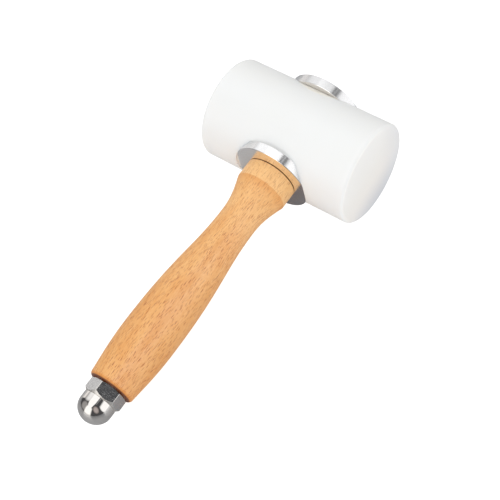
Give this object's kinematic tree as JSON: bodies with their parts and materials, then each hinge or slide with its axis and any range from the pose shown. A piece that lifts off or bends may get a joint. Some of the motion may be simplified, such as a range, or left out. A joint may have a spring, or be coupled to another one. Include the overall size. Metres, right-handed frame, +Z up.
{
  "type": "leather carving mallet",
  "caption": "Round-headed mallet for striking leather stamps: a white nylon cylinder across a turned wooden handle, held by a tie bolt and a domed cap nut.",
  "frame": {"origin": "on the surface the mallet lies on, under the centre of its bounding box", "axes": "+Z up; +X along the head, from one striking face to the other; +Y from the cap nut towards the head, level, so the handle slopes down 5.5 degrees towards -Y"},
  "size_m": [0.08, 0.19, 0.0499],
  "materials": {
    "nylon": "satin white nylon",
    "aluminium": "turned and polished",
    "beech": "satin clear coat on steamed beech",
    "bolt_steel": "zinc plated",
    "stainless": "satin flats, polished dome"
  },
  "bodies": {
    "mallet": {"mallet_head": "nylon", "top_disc": "aluminium", "handle_disc": "aluminium", "handle": "beech"},
    "tie_bolt": {"tie_bolt": "bolt_steel"},
    "cap_nut": {"cap_nut": "stainless"}
  },
  "joints": [
    {"name": "tie_bolt_turn", "type": "hinge", "parent": "mallet", "child": "tie_bolt", "pos_m": [0, 0.06934, 0.02495], "axis": [0, 0.9954, 0.0954], "range_deg": [0, 2520]},
    {"name": "cap_nut_travel", "type": "slide", "parent": "mallet", "child": "cap_nut", "axis": [0, -0.9954, -0.0954], "range_m": [0, 0.0105]}
  ],
  "couplings": [
    {"joint": "cap_nut_travel", "follows": "tie_bolt_turn", "m_per_rad": 0.00023873}
  ]
}
